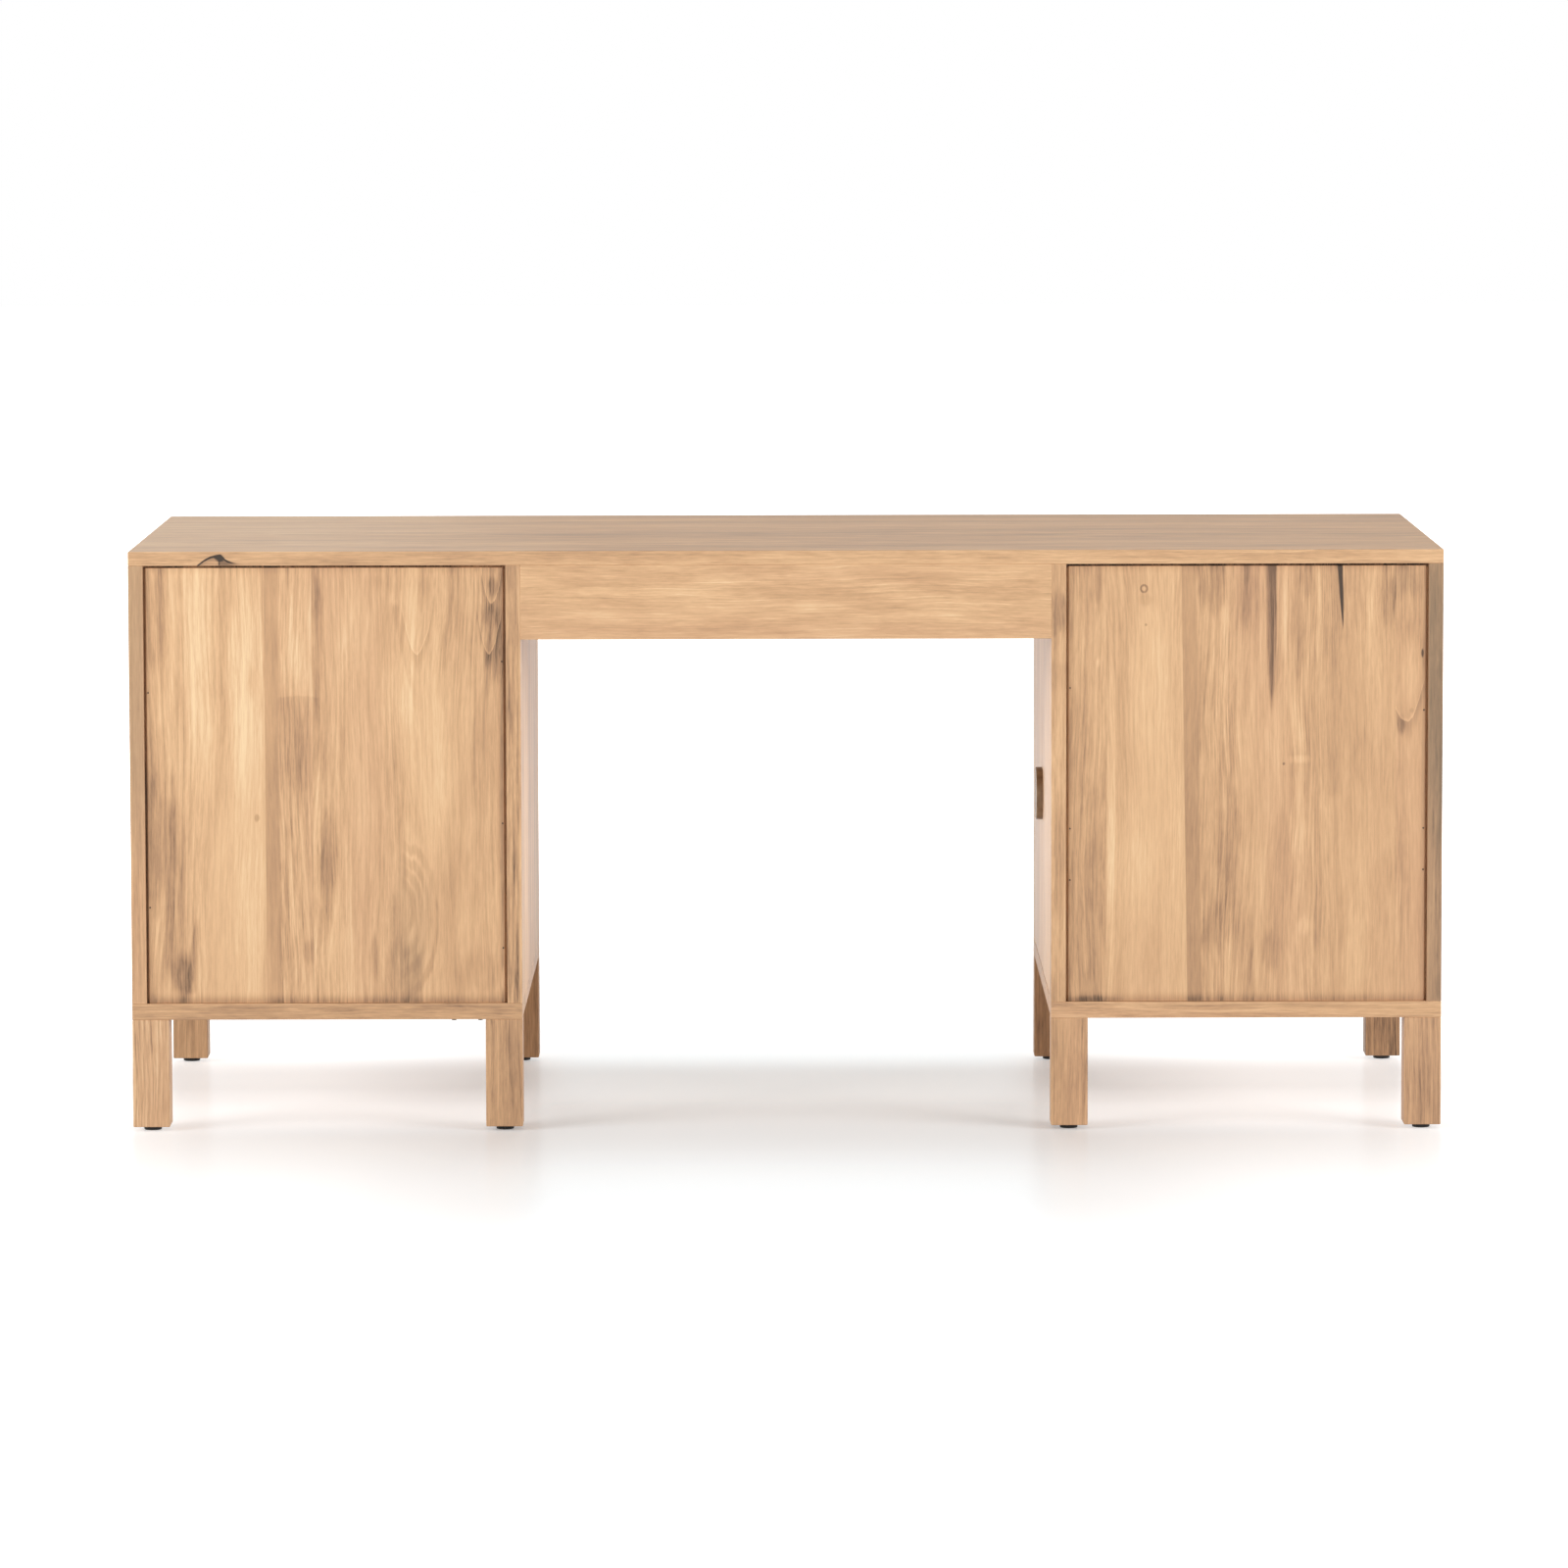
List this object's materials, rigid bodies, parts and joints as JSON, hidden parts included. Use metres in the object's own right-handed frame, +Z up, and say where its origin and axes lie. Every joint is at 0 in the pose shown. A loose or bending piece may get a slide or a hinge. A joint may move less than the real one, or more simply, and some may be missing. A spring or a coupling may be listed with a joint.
{
  "type": "executive desk",
  "caption": "Double-pedestal wooden executive desk with knee-hole, front drawers, a side cabinet with a pair of doors, half-moon pulls and square legs on glides.",
  "frame": {"origin": "On the floor, under the centre of the desk's box, drawer pulls included.", "axes": "+Z up, +X along the desk from the cabinet pedestal to the drawer pedestal, -Y towards the seated user."},
  "size_m": [1.778, 0.771, 0.79],
  "materials": {
    "wood": "dry-washed poplar, matt clear coat",
    "drawer_wood": "sealed light hardwood and plywood",
    "bronze": "dark bronze lacquer on cast metal",
    "steel": "zinc-plated steel",
    "brass": "turned brass",
    "black_plastic": "moulded plastic"
  },
  "bodies": {
    "carcass": {"back_apron": "wood", "cabinet_back_panel": "wood", "cabinet_back_stile": "wood", "cabinet_bottom_board": "wood", "cabinet_front_panel": "wood", "cabinet_front_rail": "wood", "cabinet_front_stile": "wood", "cabinet_leg_back_inner": "wood", "cabinet_leg_back_outer": "wood", "cabinet_leg_front_inner": "wood", "cabinet_leg_front_outer": "wood", "cabinet_outer_side": "wood", "cabinet_shelf": "wood", "cabinet_top_rail": "wood", "carcass_slide_members": "steel", "desktop": "wood", "door_catch": "steel", "door_pivot_bushes": "brass", "drawer_back_panel": "wood", "drawer_bottom_board": "wood", "drawer_inner_side": "wood", "drawer_leg_back_inner": "wood", "drawer_leg_back_outer": "wood", "drawer_leg_front_inner": "wood", "drawer_leg_front_outer": "wood", "drawer_outer_side": "wood", "leg_bolts": "steel", "leg_glides": "black_plastic", "shelf_pins": "steel", "top_brackets": "steel"},
    "back_door": {"back_door": "wood", "back_door_pivot_pins": "steel", "back_door_pull": "bronze"},
    "front_door": {"front_door": "wood", "front_door_pivot_pins": "steel", "front_door_pull": "bronze"},
    "centre_drawer": {"centre_drawer_back": "drawer_wood", "centre_drawer_bottom": "drawer_wood", "centre_drawer_front": "wood", "centre_drawer_pull": "bronze", "centre_drawer_sides": "drawer_wood", "centre_drawer_slide_members": "steel"},
    "top_drawer": {"top_drawer_back": "drawer_wood", "top_drawer_bottom": "drawer_wood", "top_drawer_front": "wood", "top_drawer_pull": "bronze", "top_drawer_sides": "drawer_wood", "top_drawer_slide_members": "steel"},
    "middle_drawer": {"middle_drawer_back": "drawer_wood", "middle_drawer_bottom": "drawer_wood", "middle_drawer_front": "wood", "middle_drawer_pull": "bronze", "middle_drawer_sides": "drawer_wood", "middle_drawer_slide_members": "steel"},
    "bottom_drawer": {"bottom_drawer_back": "drawer_wood", "bottom_drawer_bottom": "drawer_wood", "bottom_drawer_front": "wood", "bottom_drawer_pull": "bronze", "bottom_drawer_sides": "drawer_wood", "bottom_drawer_slide_members": "steel"}
  },
  "joints": [
    {"name": "back_door_hinge", "type": "hinge", "parent": "carcass", "child": "back_door", "pos_m": [-0.365, 0.311, 0.4225], "axis": [0, 0, 1], "range_deg": [0, 105]},
    {"name": "front_door_hinge", "type": "hinge", "parent": "carcass", "child": "front_door", "pos_m": [-0.365, -0.302, 0.4225], "axis": [0, 0, -1], "range_deg": [0, 105]},
    {"name": "centre_drawer_slide", "type": "slide", "parent": "carcass", "child": "centre_drawer", "axis": [0, -1, 0], "range_m": [0, 0.4]},
    {"name": "top_drawer_slide", "type": "slide", "parent": "carcass", "child": "top_drawer", "axis": [0, -1, 0], "range_m": [0, 0.4]},
    {"name": "middle_drawer_slide", "type": "slide", "parent": "carcass", "child": "middle_drawer", "axis": [0, -1, 0], "range_m": [0, 0.4]},
    {"name": "bottom_drawer_slide", "type": "slide", "parent": "carcass", "child": "bottom_drawer", "axis": [0, -1, 0], "range_m": [0, 0.4]}
  ]
}
